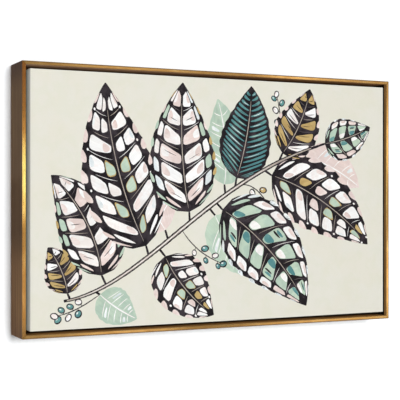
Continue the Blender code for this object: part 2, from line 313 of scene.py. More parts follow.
def frame_surface(name, axis, inner_left, inner_right, inner_depths, inner_shaded_end):
    """Leafed face, bronze sides with lines along them, and a bare wooden back.

    The inner wall goes from its front colours, left and right, to inner_shaded_end between two
    depths: painted shade deep in the gap."""
    s = Surface(name, Specular_IOR_Level=0.06)
    depth = s.math("SUBTRACT", s.y, FRONT_Y)
    from_side = s.math("SUBTRACT", HALF_WIDTH, s.math("ABSOLUTE", s.x))
    from_top = s.math("SUBTRACT", FRAME_TOP, s.z)
    from_bottom = s.math("SUBTRACT", s.z, FRAME_BOTTOM)
    inset = s.math("MINIMUM", from_side, s.math("MINIMUM", from_top, from_bottom))

    streaks = s.noise(s.stretch(*along(axis, 22, 700)), detail=4, roughness=0.65)
    clouds = s.noise(s.stretch(*along(axis, 34, 90)), detail=3, roughness=0.6, distortion=0.4)
    specks = s.noise(s.stretch(*along(axis, 260, 900)), detail=2, roughness=0.7)
    worn = s.weigh((streaks, 0.45), (clouds, 0.55))
    leaf = s.ramp(
        worn,
        (0.30, (194, 142, 78)),
        (0.45, (216, 163, 94)),
        (0.56, (228, 178, 108)),
        (0.70, (242, 200, 130)),
    )
    leaf = s.blend(s.step(specks, 0.60, 0.72, 0.0, 0.4), leaf, linear(150, 104, 50))

    lines = s.noise(s.stretch(*along(axis, 5, 520)), detail=4, roughness=0.7)
    side = s.ramp(lines, (0.30, (70, 51, 39)), (0.50, (93, 72, 54)), (0.70, (116, 95, 68)))
    # Only the left side, and the left length's leaf, get these bands of painted light and shade.
    on_left = s.math("LESS_THAN", s.x, -HALF_WIDTH + ON_LEFT_SIDE)
    side = paint_light_bands(s, side, SIDE_LIGHT_AND_SHADE, on_left)
    if axis == "Z":
        leaf = paint_light_bands(s, leaf, LEAF_HIGHLIGHT_BANDS, s.math("LESS_THAN", s.x, 0.0))
    # Painted light across the inner wall's front, and painted shade as it goes deeper into the gap.
    inner_front = s.blend(s.step(s.x, *INNER_LIGHT_CHANGE), linear(*inner_left), linear(*inner_right))
    wall = s.blend(s.step(depth, *inner_depths), inner_front, linear(*inner_shaded_end))
    grain = s.noise(s.stretch(*along(axis, 16, 480)), detail=5, roughness=0.6, distortion=0.3)
    wood = s.ramp(grain, (0.30, (74, 52, 34)), (0.52, (104, 76, 50)), (0.72, (132, 100, 66)))

    on_face = s.step(depth, *FACE_ENDS, 1.0, 0.0)
    on_side = s.step(inset, *SIDE_ENDS, 1.0, 0.0)
    at_back = s.step(depth, *BACK_BEGINS)
    colour = s.blend(on_side, wall, side)
    colour = s.blend(at_back, colour, wood)
    colour = s.blend(on_face, colour, leaf)
    gloss = s.weigh((worn, -0.10), (specks, 0.06), offset=0.17)
    dull = s.weigh((lines, 0.25), offset=0.65)
    rough = s.weigh((gloss, on_face), (dull, s.math("SUBTRACT", 1.0, on_face)))
    height = s.weigh((streaks, 0.7), (specks, 0.3))
    return s.finish(colour, height, 0.02 * MM, 0.5, rough, on_face)


def pine_surface(name, axis):
    """Planed softwood: pale growth lines along the bar, darker flecks."""
    s = Surface(name)
    wander = s.noise(s.stretch(*along(axis, 5, 30)), detail=2)
    rings = s.weigh((s.y, 620), (wander, 9), (s.z if axis == "X" else s.x, 380))
    wave = s.weigh((s.math("SINE", rings), 0.5), offset=0.5)
    fibre = s.noise(s.stretch(*along(axis, 40, 1500)), detail=3, roughness=0.6)
    tone = s.weigh((wave, 0.45), (fibre, 0.55))
    colour = s.ramp(tone, (0.2, (232, 206, 160)), (0.5, (219, 186, 136)), (0.8, (190, 148, 98)))
    return s.finish(colour, fibre, 0.08 * MM, 0.5, s.weigh((tone, -0.15), offset=0.72))


def metal_surface(name, dark, light, base_rough):
    """Plated or drawn metal with fine scuffs."""
    s = Surface(name, Metallic=1.0)
    cloud = s.noise(s.place, 600, detail=4, roughness=0.7)
    colour = s.ramp(cloud, (0.35, dark), (0.65, light))
    return s.finish(colour, cloud, 0.02 * MM, 0.4, s.weigh((cloud, 0.3), offset=base_rough - 0.15))


def rubber_surface():
    s = Surface("bumper_rubber")
    grain = s.noise(s.place, 1800, detail=3, roughness=0.6)
    colour = s.ramp(grain, (0.3, (44, 43, 42)), (0.7, (66, 64, 62)))
    return s.finish(colour, grain, 0.05 * MM, 0.5, s.weigh((grain, 0.2), offset=0.6))


WEAVE_PITCH = 0.9 * MM


def weave(s):
    """A plain weave's height, 0 to 1, on any face that lies along two axes."""
    turns = 2 * math.pi / WEAVE_PITCH
    waves = [s.math("SINE", s.math("MULTIPLY", axis, turns)) for axis in (s.x, s.y, s.z)]
    pairs = [s.math("MULTIPLY", waves[a], waves[b]) for a, b in ((0, 1), (1, 2), (0, 2))]
    total = s.math("ADD", s.math("ADD", pairs[0], pairs[1]), pairs[2])
    return s.weigh((total, 0.25), offset=0.5)


# Painted shade greys the print over its left fold: how far in from the cloth's side, and how much.
PAINTED_FOLD_SHADE_FROM = 0.70 * MM
PAINTED_FOLD_SHADE_TO = 1.50 * MM
PAINTED_FOLD_SHADE = (0.46, 0.45, 0.48, 1.0)

# The print ends in painted shade, dark as the gap beside it, on its right fold, and on its lower fold
# in a band that widens to the right.
GAP_SHADE_FROM = 1.20 * MM
GAP_SHADE_TO = 0.80 * MM
LOW_GAP_SHADE_SLOPE = 0.0042
PAINTED_GAP_SHADE = (0.05, 0.045, 0.04, 1.0)


def print_surface():
    """The printed picture: each shape's paint with brush streaks along the stroke, on woven cloth."""
    s = Surface("printed_canvas", Specular_IOR_Level=0.25)
    paint = s.node("ShaderNodeAttribute", attribute_name="Paint").outputs["Color"]
    other = s.node("ShaderNodeAttribute", attribute_name="Other").outputs["Color"]
    tint = s.node("ShaderNodeAttribute", attribute_name="Tint").outputs["Fac"]
    stroke = s.node("ShaderNodeUVMap", uv_map="Stroke").outputs[0]
    drag = s.noise(s.stretch(38, 620, 1, stroke), detail=4, roughness=0.6)
    broad = s.noise(s.stretch(26, 120, 1, stroke), detail=2, roughness=0.5)
    mottle = s.noise(s.place, 24, detail=3, roughness=0.55)
    drift = s.noise(s.place, 62, detail=3, roughness=0.6, distortion=0.3)
    paint = s.blend(s.step(drift, 0.44, 0.62), paint, other)
    weights = ((drag, 0.34), (broad, 0.22), (tint, 0.10))
    uneven = s.weigh(*[(s.math("SUBTRACT", value, 0.5), weight) for value, weight in weights])
    amount = s.weigh((uneven, s.math("GREATER_THAN", tint, 0.0)), offset=1.0)
    shade = s.fill(s.node("ShaderNodeCombineXYZ"), amount, amount, amount)
    colour = s.blend(1.0, paint, shade, "MULTIPLY")
    warm = s.blend(s.step(mottle, 0.42, 0.60), linear(251, 251, 250), linear(251, 250, 247))
    colour = s.blend(1.0, colour, warm, "MULTIPLY")
    # Painted shade over the left fold of the front.
    in_fold_shade = s.step(s.x, CLOTH_LOW.x + PAINTED_FOLD_SHADE_FROM, CLOTH_LOW.x + PAINTED_FOLD_SHADE_TO, 1.0, 0.0)
    in_front = s.math("LESS_THAN", s.y, CLOTH_LOW.y + FRONT_RADIUS * MM)
    colour = s.blend(s.math("MULTIPLY", in_fold_shade, in_front), colour, PAINTED_FOLD_SHADE, "MULTIPLY")
    # Painted shade of the gap over the right and lower folds.
    on_right = s.step(s.x, CLOTH_HIGH.x - GAP_SHADE_FROM, CLOTH_HIGH.x - GAP_SHADE_TO)
    low_shade_line = s.weigh((s.x, LOW_GAP_SHADE_SLOPE), offset=CLOTH_LOW.z)
    in_gap_shade = s.math("MAXIMUM", on_right, s.math("LESS_THAN", s.z, low_shade_line))
    colour = s.blend(s.math("MULTIPLY", in_gap_shade, in_front), colour, PAINTED_GAP_SHADE, "MULTIPLY")
    return s.finish(colour, weave(s), 0.05 * MM, 0.35, s.weigh((drag, 0.16), offset=0.62))


def raw_cloth_surface():
    """The cloth's unprimed side: natural cotton with darker slubs."""
    s = Surface("raw_canvas", Specular_IOR_Level=0.2, Roughness=0.9)
    slubs = s.noise(s.stretch(60, 60, 900), detail=3, roughness=0.7)
    cross = s.noise(s.stretch(900, 60, 60), detail=3, roughness=0.7)
    tone = s.weigh((slubs, 0.5), (cross, 0.5))
    colour = s.ramp(tone, (0.35, (196, 182, 154)), (0.5, (218, 206, 180)), (0.65, (232, 222, 200)))
    return s.finish(colour, weave(s), 0.12 * MM, 0.7)


def primed_cloth_surface():
    """The folded flap and its corner tucks: white primer with faint blots."""
    s = Surface("primed_canvas", Specular_IOR_Level=0.25)
    blots = s.noise(s.place, 60, detail=3, roughness=0.6)
    colour = s.ramp(blots, (0.35, (236, 234, 226)), (0.65, (246, 245, 240)))
    return s.finish(colour, weave(s), 0.08 * MM, 0.5, s.weigh((blots, 0.15), offset=0.65))


def plaster_surface():
    """The wall, seen from its room side alone, so that views from behind show the object's back."""
    s = Surface("wall_paint", Roughness=0.9, Specular_IOR_Level=0.1)
    speckle = s.noise(s.place, 300, detail=3)
    s.finish(s.ramp(speckle, (0.3, (241, 243, 245)), (0.7, (245, 247, 249))), speckle, 0.02 * MM, 0.1)
    side = s.node("ShaderNodeNewGeometry").outputs["Backfacing"]
    shadow = s.node("ShaderNodeLightPath").outputs["Is Shadow Ray"]
    clear = s.node("ShaderNodeBsdfTransparent").outputs[0]
    share = s.math("MAXIMUM", side, shadow)
    seen = s.fill(s.node("ShaderNodeMixShader"), share, s.shader.outputs[0], clear)
    s.put(s.tree.nodes["Material Output"].inputs["Surface"], seen)
    return s.material


def floor_surface():
    s = Surface("floor_paint", Roughness=0.7, Specular_IOR_Level=0.2)
    speckle = s.noise(s.place, 40, detail=3)
    colour = s.ramp(speckle, (0.3, (222, 221, 218)), (0.7, (230, 229, 226)))
    return s.finish(colour, speckle, 0.05 * MM, 0.1)


# The picture


class Line:
    """A smooth curve through four control points, read by the share of its length."""

    STEPS = 64

    def __init__(self, controls):
        self.points = [self.bezier(controls, i / self.STEPS) for i in range(self.STEPS + 1)]
        self.reach = [0.0]
        for p, q in zip(self.points, self.points[1:]):
            self.reach.append(self.reach[-1] + math.dist(p, q))
        self.length = self.reach[-1]

    @staticmethod
    def bezier(controls, t):
        s = 1 - t
        weights = (s**3, 3 * s * s * t, 3 * s * t * t, t**3)
        return tuple(sum(w * c[axis] for w, c in zip(weights, controls)) for axis in (0, 1))

    def at(self, share, aside=0.0):
        """The point at this share of the length, moved to the left of the line by aside."""
        want = min(max(share, 0.0), 1.0) * self.length
        i = 1
        while i < self.STEPS and self.reach[i] < want:
            i += 1
        p, q = self.points[i - 1], self.points[i]
        span = self.reach[i] - self.reach[i - 1]
        f = (want - self.reach[i - 1]) / span
        x, y = mix(p[0], q[0], f), mix(p[1], q[1], f)
        return x - (q[1] - p[1]) / span * aside, y + (q[0] - p[0]) / span * aside

    def heading(self, share):
        (x0, y0), (x1, y1) = self.at(share - 0.01), self.at(share + 0.01)
        return math.atan2(y1 - y0, x1 - x0)


class Painting:
    """Flat shapes in the order they are painted, in millimetres: (outline, colour, direction)."""

    # The spacing of a long mark's points, and how narrow its pointed ends may be, of its width.
    SPACING = 2.5
    NARROWEST = 0.12

    def __init__(self):
        self.shapes = []
        self.random = random.Random(PAINT_SEED)

    def between(self, low, high):
        return self.random.uniform(low, high)

    def add(self, outline, colour, direction):
        self.shapes.append((outline, colour, direction))

    def along(self, place, width, colour, steps, taper=0.5, rough=0.1):
        """A brush mark whose middle is place(f), for f from 0 to 1, pointed at both ends."""
        left, right = [], []
        for i in range(steps + 1):
            f = i / steps
            x, y = place(f)
            x0, y0 = place(f - 0.02)
            x1, y1 = place(f + 0.02)
            reach = math.hypot(x1 - x0, y1 - y0) or 1.0
            nx, ny = (y0 - y1) / reach, (x1 - x0) / reach
            swell = max(self.NARROWEST, math.sin(math.pi * mix(0.03, 0.97, f))) ** taper
            for side, edge in ((1, left), (-1, right)):
                half = side * width / 2 * swell * (1 + self.between(-rough, rough))
                edge.append((x + nx * half, y + ny * half))
        (x0, y0), (x1, y1) = place(0), place(1)
        self.add(left + right[::-1], colour, math.atan2(y1 - y0, x1 - x0))

    def line(self, line, width, colour, start=0.0, end=1.0, taper=0.5, rough=0.1):
        steps = max(6, int(line.length * (end - start) / self.SPACING))
        self.along(lambda f: line.at(mix(start, end, f)), width, colour, steps, taper, rough)

    def oval(self, centre, length, width, direction, colour, corners=18, rough=0.05):
        """An oval dab, a little uneven."""
        phase = self.between(0, 2 * math.pi)
        outline = []
        for i in range(corners):
            a = 2 * math.pi * i / corners
            k = 1 + rough * math.sin(2 * a + phase) + self.between(-rough, rough) * 0.5
            u, v = length / 2 * math.cos(a) * k, width / 2 * math.sin(a) * k
            c, s = math.cos(direction), math.sin(direction)
            outline.append((centre[0] + u * c - v * s, centre[1] + u * s + v * c))
        self.add(outline, colour, direction)


class Leaf:
    """A broad pointed leaf: an ink blade with crisp patches of paint between its side veins."""

    # The greatest value of the curve that half() draws, and how far side veins sweep to the tip.
    FULLEST = 0.3732
    SWEEP = 0.20
    # The shares of the rib at which the first gap between side veins starts, and that all gaps fill.
    FIRST_GAP = 0.03
    ALL_GAPS = 0.90
    # The paints of the lobe and the spot in the blade's round base, by kind of leaf.
    BASE_PAINTS = {
        "spotted": ("blush", "white"),
        "panelled": ("sage", "blush"),
        "banded": ("mist", "sage"),
        "golden": ("blush", "gold"),
    }

    def __init__(self, painting, base, tip, bend, width, kind, veins):
        self.painting = painting
        dx, dy = tip[0] - base[0], tip[1] - base[1]
        first = (base[0] + dx * 0.32 - dy * bend, base[1] + dy * 0.32 + dx * bend)
        second = (base[0] + dx * 0.72 - dy * bend * 0.8, base[1] + dy * 0.72 + dx * bend * 0.8)
        self.rib = Line((base, first, second, tip))
        self.width = width
        self.kind = kind
        self.veins = veins
        self.pitch = self.ALL_GAPS / veins
        self.heading = math.atan2(dy, dx)

    def half(self, share):
        """Half the blade's width at this share of the rib: round at the base, pointed at the tip."""
        share = min(max(share, 0.0), 1.0)
        return self.width / 2 * share**0.55 * (1 - share) ** 0.95 / self.FULLEST

    def spot(self, share, across, side):
        """A point of the blade: across is 0 at the rib and 1 at the margin, swept to the tip."""
        swept = min(share + self.SWEEP * across**1.3 * (1 - share) ** 0.7, 0.998)
        return self.rib.at(swept, side * self.half(swept) * across)

    def blade(self, colour, grow=0.6):
        """The whole blade, with a shallow notch where each side vein meets the margin."""
        steps = self.veins * 6
        edge = []
        for side in (1, -1):
            places = [i / steps for i in range(steps + 1)]
            for share in places if side > 0 else reversed(places):
                notch = 0.022 * math.cos(2 * math.pi * share / self.pitch)
                out = self.half(share) * (1 + notch) + grow + self.painting.between(-0.25, 0.25)
                edge.append(self.rib.at(share, side * out))
        self.painting.add(edge, colour, self.heading)

    def gap(self, k, shift=0.0):
        """Where the middle of gap k is along the rib, moved by a share of the gap."""
        return self.FIRST_GAP + self.pitch * (k + 0.5 + shift)

    def patch(self, k, inner, outer, thick, side, colour, square=0.6, shift=0.0, narrow=0.75):
        """A rounded patch in gap k, from inner to outer across the blade. thick is a share of the gap.

        A smaller square makes its corners squarer, and a smaller narrow its end by the rib thinner."""
        half = self.pitch * thick / 2
        self.patch_at(self.gap(k, shift), half, inner, outer, side, colour, square, narrow)

    def patch_at(self, middle, half, inner, outer, side, colour, square=0.7, narrow=0.75):
        corners = 18
        phase = self.painting.between(0, 2 * math.pi)
        outline = []
        for i in range(corners):
            a = 2 * math.pi * i / corners
            c, s = math.cos(a), math.sin(a)
            u = math.copysign(abs(c) ** square, c)
            v = math.copysign(abs(s) ** square, s)
            wobble = 1 + 0.05 * math.sin(2 * a + phase) + self.painting.between(-0.03, 0.03)
            across = mix(inner, outer, 0.5 + 0.5 * u * wobble)
            reach = half * (narrow + (1 - narrow) * u) * v * wobble
            outline.append(self.spot(middle + reach, max(across, 0.02), side))
        (x0, y0), (x1, y1) = self.spot(middle, inner, side), self.spot(middle, outer, side)
        self.painting.add(outline, colour, math.atan2(y1 - y0, x1 - x0))

    def streak(self, k, inner, outer, side, width, colour, shift=0.0):
        """A thin mark between rib and margin."""
        middle = self.gap(k, shift)

        def place(f):
            return self.spot(middle, mix(inner, outer, min(max(f, 0), 1.02)), side)

        self.painting.along(place, width, colour, 8, 0.7, 0.25)

    def paint(self):
        wash = self.kind.startswith("wash")
        self.blade("blush" if self.kind == "wash_blush" else "sage" if wash else "ink")
        for side in (1, -1):
            if not wash:
                self.base(side)
            for k in range(self.veins):
                getattr(self, "wash" if wash else self.kind)(k, side)
        if wash:
            self.painting.line(self.rib, 1.8, "white", 0.0, 0.96, 0.4, 0.1)
            return
        self.painting.line(self.rib, 4.2, "ink", 0.0, 0.98, 0.35, 0.08)
        self.painting.line(self.rib, 1.1, "taupe", 0.03, 0.84, 0.5, 0.2)

    def choose(self, *colours):
        return self.painting.random.choice(colours)

    def base(self, side):
        """What stands before the first side vein, in the blade's round base."""
        if self.kind == "fine":
            for middle, inner in ((-0.02, 0.36), (-0.055, 0.52), (-0.09, 0.66), (-0.125, 0.82)):
                self.patch_at(middle, 0.011, inner, 0.94, side, "teal")
            return
        lobe, spot = self.BASE_PAINTS[self.kind]
        self.patch_at(-0.026, 0.034, 0.48, 0.81, side, spot)
        self.patch_at(-0.042, 0.032, 0.87, 1.04, side, lobe)
        self.patch_at(-0.120, 0.026, 0.80, 1.03, side, self.choose(lobe, spot))

    def wash(self, k, side):
        if k < self.veins - 1:
            self.streak(k, 0.06, 0.88, side, 1.1, "white", 0.5)
        if k % 3 == 1:
            self.patch(k, 0.3, 0.8, 0.5, side, "mist")

    def spotted(self, k, side):
        """White spots with a cool or warm end, small patches by the rib, and lobes on the margin."""
        between = self.painting.between
        last = k >= self.veins - 1
        self.patch(k, 0.865, 1.05, between(0.64, 0.78), side, "blush", 0.65)
        if (k + (side > 0)) % 4 == 1 and not last:
            self.patch(k, 0.08, 0.79, 0.84, side, "white", 0.5)
            self.patch(k, 0.12, 0.34, 0.52, side, "blush", 0.8)
        else:
            cut = between(0.36, 0.44)
            self.patch(k, cut, 0.79, 0.85, side, "white", 0.52, 0.0, 0.86)
            if k % 2 == (side > 0):
                colour = self.choose("mist", "mist", "blush")
                self.patch(k, mix(cut, 0.79, 0.66), 0.775, 0.62, side, colour, 0.7)
            colour = self.choose("sage", "sage", "white", "gold", "blush")
            if colour == "sage":
                self.patch(k, 0.08, cut - 0.03, 0.86, side, "gold", 0.55)
            self.patch(k, 0.09, cut - 0.05, 0.76, side, colour, 0.55)
        if k % 2:
            centre = self.spot(self.gap(k, 0.5), 0.84, side)
            self.painting.oval(centre, 3.6, 2.6, self.heading, "white", 10)
        self.vein(k, side)

    def panelled(self, k, side):
        """Long panels pointed at the rib, a pale bar beyond them, and small lobes."""
        between = self.painting.between
        first, second = ("white", "blush") if (k + (side > 0)) % 3 else ("blush", "white")
        stop = between(0.64, 0.72)
        self.patch(k, 0.05, stop, 0.92, side, first, 0.45, 0.0, 0.78)
        self.patch(k, mix(0.07, stop, 0.58), stop - 0.02, 0.64, side, second, 0.7)
        self.patch(k, stop + 0.06, 0.91, 0.84, side, self.choose("white", "mist", "sage"), 0.5, 0.0, 0.9)
        self.patch(k, 0.95, 1.06, 0.62, side, self.choose("sage", "blush", "gold"), 0.7)
        if k % 2 == 0:
            self.streak(k, 0.2, stop - 0.12, side, between(0.6, 1.0), "ink", between(-0.12, 0.12))
        self.vein(k, side)

    def banded(self, k, side):
        """Sage panels shaded teal by the rib, a dark dash across, and a pale end."""
        between = self.painting.between
        self.patch(k, 0.05, 0.64, 0.93, side, "sage", 0.45, 0.0, 0.72)
        self.patch(k, 0.08, 0.30, 0.66, side, "teal" if (k + (side > 0)) % 2 else "white", 0.7)
        if (k + (side > 0)) % 3 == 0:
            self.patch(k, 0.42, 0.48, 0.62, side, "ink", 0.7, between(-0.1, 0.1))
            self.patch(k, 0.49, 0.57, 0.60, side, "teal", 0.7, between(-0.05, 0.05))
        self.patch(k, 0.69, 0.92, 0.90, side, self.choose("white", "blush", "white"), 0.5, 0.0, 0.88)
        self.patch(k, 0.80, 0.91, 0.66, side, "blush", 0.7)
        self.patch(k, 0.96, 1.06, 0.60, side, "mist", 0.7)
        for _ in range(2 if k < self.veins - 1 else 0):
            self.streak(k, 0.97, 1.04, side, 0.5, "ink", between(-0.15, 0.15))
        self.vein(k, side)

    def fine(self, k, side):
        """Two narrow teal strokes in each gap, with a paler or darker mark."""
        between = self.painting.between
        for shift in (-0.24, 0.24):
            self.patch(k, 0.07, between(0.84, 0.93), 0.36, side, "teal", 0.7, shift, 0.7)
        colours = ("mist", "deep", "sage")
        self.streak(k, 0.2, between(0.5, 0.8), side, between(0.5, 0.9), self.choose(*colours), 0.24)

    def golden(self, k, side):
        """Gold patches and a few white ones, cut by thin lines."""
        between = self.painting.between
        colour = "gold" if (k + (side > 0)) % 3 else "white"
        self.patch(k, 0.07, 0.82, 0.88, side, colour, 0.5, 0.0, 0.62)
        self.streak(k, 0.15, between(0.5, 0.7), side, 0.9, "ink", between(-0.15, 0.15))
        self.patch(k, 0.88, 1.05, 0.66, side, "blush", 0.7)
        self.vein(k, side)

    def vein(self, k, side):
        """The light line along a side vein."""
        if k < self.veins - 1:
            end = self.painting.between(0.62, 0.86)
            self.streak(k, 0.10, end, side, 0.7, self.choose("taupe", "smoke", "white"), 0.5)


# Each leaf: its share of the bough, tip, bend, width, kind and number of side veins. Washes lie
# behind the rest. A stalk is STALK long, or STALK_SHARE of the way to the tip where that is less.
# Lengths from here to the sprigs are in millimetres.
STALK = 14.0
STALK_SHARE = 0.12
WASHES = [
    (0.10, (-118, -150), -0.06, 46, "wash_sage", 6),
    (0.38, (-112, 66), 0.10, 62, "wash_blush", 7),
    (0.62, (-4, 132), -0.08, 58, "wash_sage", 7),
    (0.55, (64, -100), -0.10, 62, "wash_sage", 7),
    (0.92, (216, 18), 0.08, 58, "wash_blush", 6),
]
LEAVES = [
    (0.02, (-234, -58), -0.10, 46, "golden", 4),
    (0.34, (-10, -150), -0.10, 74, "spotted", 5),
    (0.14, (-230, 30), -0.14, 80, "panelled", 5),
    (0.78, (230, -62), 0.10, 92, "spotted", 6),
    (0.58, (130, -144), 0.10, 102, "banded", 6),
    (0.30, (-160, 146), 0.08, 100, "spotted", 7),
    (0.66, (46, 151), -0.06, 74, "fine", 8),
    (0.47, (-54, 151), 0.05, 90, "panelled", 6),
    (0.84, (136, 151), -0.10, 66, "golden", 5),
    (1.00, (234, 102), -0.06, 56, "banded", 4),
]
BOUGH = ((-214, -124), (-110, -112), (-20, 26), (150, 74))
# Each sprig: its curve, number of berries, and their paint.
SPRIGS = [
    (((-168, -118), (-190, -132), (-206, -140), (-226, -142)), 7, "teal"),
    (((22, 18), (44, 26), (60, 12), (76, -14)), 5, "gold"),
    (((-56, -38), (-40, -62), (-22, -74), (4, -84)), 6, "teal"),
    (((108, 66), (88, 96), (92, 112), (84, 142)), 7, "teal"),
]


def paint_sprig(painting, controls, berries, colour):
    line = Line(controls)
    painting.line(line, 1.5, "ink", 0, 1, 0.4, 0.15)
    for i in range(berries):
        share = mix(0.40, 1.0, i / (berries - 1))
        side = 1 if i % 2 else -1
        root = end = line.at(share)
        if i < berries - 1:
            end = line.at(share + 0.04, side * (8 - 3 * share))
            painting.line(Line((root, root, end, end)), 1.0, "ink", 0, 1, 0.3, 0.1)
        size = painting.between(7.0, 9.5)
        heading = line.heading(share) + side * 0.6
        painting.oval(end, size * 1.25, size, heading, "ink", 18)
        painting.oval(end, size * 0.92, size * 0.66, heading, colour if i % 3 else "white", 16)
        shine = (end[0] - size * 0.14, end[1] + size * 0.12)
        painting.oval(shine, size * 0.4, size * 0.2, heading, "mist" if i % 3 else "blush", 8)


def paint_leaf(painting, bough, share, tip, *shape):
    root = bough.at(share)
    stalk = min(STALK / math.dist(root, tip), STALK_SHARE)
    base = (mix(root[0], tip[0], stalk), mix(root[1], tip[1], stalk))
    painting.line(Line((root, root, base, base)), 3.0, "ink", 0, 1, 0.1, 0.1)
    Leaf(painting, base, tip, *shape).paint()


def paint_picture():
    painting = Painting()
    bough = Line(BOUGH)
    for leaf in WASHES:
        paint_leaf(painting, bough, *leaf)
    for sprig in SPRIGS:
        paint_sprig(painting, *sprig)
    for leaf in LEAVES:
        paint_leaf(painting, bough, *leaf)
    painting.line(bough, 6.5, "ink", 0, 1, 0.3, 0.08)
    painting.line(bough, 3.0, "taupe", 0.01, 0.97, 0.4, 0.15)
    painting.line(bough, 1.0, "white", 0.05, 0.8, 0.5, 0.3)
    return painting


# The cloth


def ring(inset):
    """A rounded rectangle inside the cloth's outline, anticlockwise from the front, in millimetres.

    Each point is (x, z, outward x, outward z). Every ring has the same number of points."""
    half_x = CLOTH_HALF_WIDTH - inset
    half_z = CLOTH_HALF_HEIGHT - inset
    radius = max(CORNER_RADIUS - inset, SMALLEST_RADIUS)
    steps_x = round(2 * CLOTH_HALF_WIDTH / POINT_SPACING)
    steps_z = round(2 * CLOTH_HALF_HEIGHT / POINT_SPACING)
    corners = [(1, -1, -90), (1, 1, 0), (-1, 1, 90), (-1, -1, 180)]
    straights = [steps_z, steps_x, steps_z, steps_x]
    points = []
    for (sx, sz, first), steps in zip(corners, straights):
        cx, cz = sx * (half_x - radius), sz * (half_z - radius)
        for k in range(ARC_STEPS + 1):
            a = math.radians(first + 90 * k / ARC_STEPS)
            c, s = math.cos(a), math.sin(a)
            points.append((cx + radius * c, cz + radius * s, c, s))
        last = math.radians(first + 90)
        out = (round(math.cos(last)), round(math.sin(last)))
        length = 2 * ((half_z if out[0] else half_x) - radius)
        x, z = points[-1][:2]
        for k in range(1, steps):
            way = length * k / steps
            points.append((x - out[1] * way, z + out[0] * way, *out))
    return points


def cloth_profile():
    """(inset, depth) pairs from the flat front to the flap's raw edge, outside and back inside."""
    full = (CLOTH_HIGH.y - CLOTH_LOW.y) / MM
    thin = CLOTH_THICKNESS
    front, back = FRONT_RADIUS - thin, BACK_RADIUS - thin
    angles = [math.radians(90 * k / ARC_STEPS) for k in range(ARC_STEPS + 1)]
    arc = [(math.sin(a), math.cos(a)) for a in angles]
    outside = [(FRONT_RADIUS * (1 - s), FRONT_RADIUS * (1 - c)) for s, c in arc]
    outside += [(0.0, full * share) for share in SIDE_ROWS]
    outside += [(BACK_RADIUS * (1 - c), full - BACK_RADIUS * (1 - s)) for s, c in arc]
    outside += [(inset, full) for inset in FLAP_ROWS]
    inside = [(inset, full - thin) for inset in reversed(FLAP_ROWS)]
    inside += [(BACK_RADIUS - back * c, full - BACK_RADIUS + back * s) for s, c in reversed(arc)]
    inside += [(thin, full * share) for share in reversed(SIDE_ROWS)]
    inside += [(FRONT_RADIUS - front * s, FRONT_RADIUS - front * c) for s, c in reversed(arc)]
    return outside, inside


def build_tuck(sx, sz, chance):
    """One folded corner on the cloth's back: points, and faces that look outwards.

    The fold's edge lies along the mitre. Its top side is a grid. Its underside sinks in the flap."""
    points, faces = [], []
    row = TUCK_STEPS + 1
    for under in (False, True):
        for i in range(row):
            across = mix(TUCK_START, TUCK_END, i / TUCK_STEPS)
            wander = chance.uniform(-TUCK_WANDER, TUCK_WANDER)
            for j, rise in enumerate(TUCK_RISE):
                aside = mix(across, TUCK_REACH, j / TUCK_STEPS) + (wander if 0 < j else 0)
                ripple = 1 + TUCK_RIPPLE * math.sin(TUCK_RIPPLE_TURN * i + j)
                rise = TUCK_SINK if under else rise * ripple
                x = sx * (CLOTH_HALF_WIDTH - aside)
                z = sz * (CLOTH_HALF_HEIGHT - across)
                points.append((x * MM, CLOTH_HIGH.y + rise * MM, CENTRE_Z + z * MM))
    low = row * row

    def face(*corners):
        faces.append(corners if sx * sz < 0 else corners[::-1])

    def rim(a, b, forward):
        """A face between the top side and the underside."""
        face(*((a, b, low + b, low + a) if forward else (low + a, low + b, b, a)))

    for i in range(TUCK_STEPS):
        for j in range(TUCK_STEPS):
            a, b, c, d = i * row + j, i * row + j + 1, (i + 1) * row + j + 1, (i + 1) * row + j
            face(a, b, c, d)
            face(low + d, low + c, low + b, low + a)
        for j in (0, TUCK_STEPS):
            rim(i * row + j, (i + 1) * row + j, j == 0)
            rim(j * row + i, j * row + i + 1, j != 0)
    return points, faces


# For delaunay_2d_cdt: to keep the triangles inside the outlines alone, and how close two points are,
# in millimetres, when it makes one of them.
INSIDE_ONLY = 1
WELD_DISTANCE = 0.01

# The cloth's materials, in the order in which build_cloth gets them.
PRINTED = 0
UNPRIMED = 1
PRIMED = 2


def signed_area(points):
    return sum(p[0] * q[1] - q[0] * p[1] for p, q in zip(points, points[1:] + points[:1])) / 2


def cut_picture(edge, painting):
    """Cuts the painted shapes into the flat front.

    Gives its corners, its triangles, each one's top shape, and the corner for each point of edge."""
    coords = [Vector(p[:2]) for p in edge]
    outlines = [list(range(len(edge)))]
    for outline, _, _ in painting.shapes:
        if signed_area(outline) < 0:
            outline = outline[::-1]
        first = len(coords)
        coords += [Vector(p) for p in outline]
        outlines.append(list(range(first, len(coords))))
    cut = delaunay_2d_cdt(coords, [], outlines, INSIDE_ONLY, WELD_DISTANCE, True)
    corners, _, triangles, from_corners, _, from_outlines = cut
    now = {k: new for new, old in enumerate(from_corners) for k in old}
    on_edge = [now[k] for k in range(len(edge))]
    return corners, triangles, [max(found) - 1 for found in from_outlines], on_edge


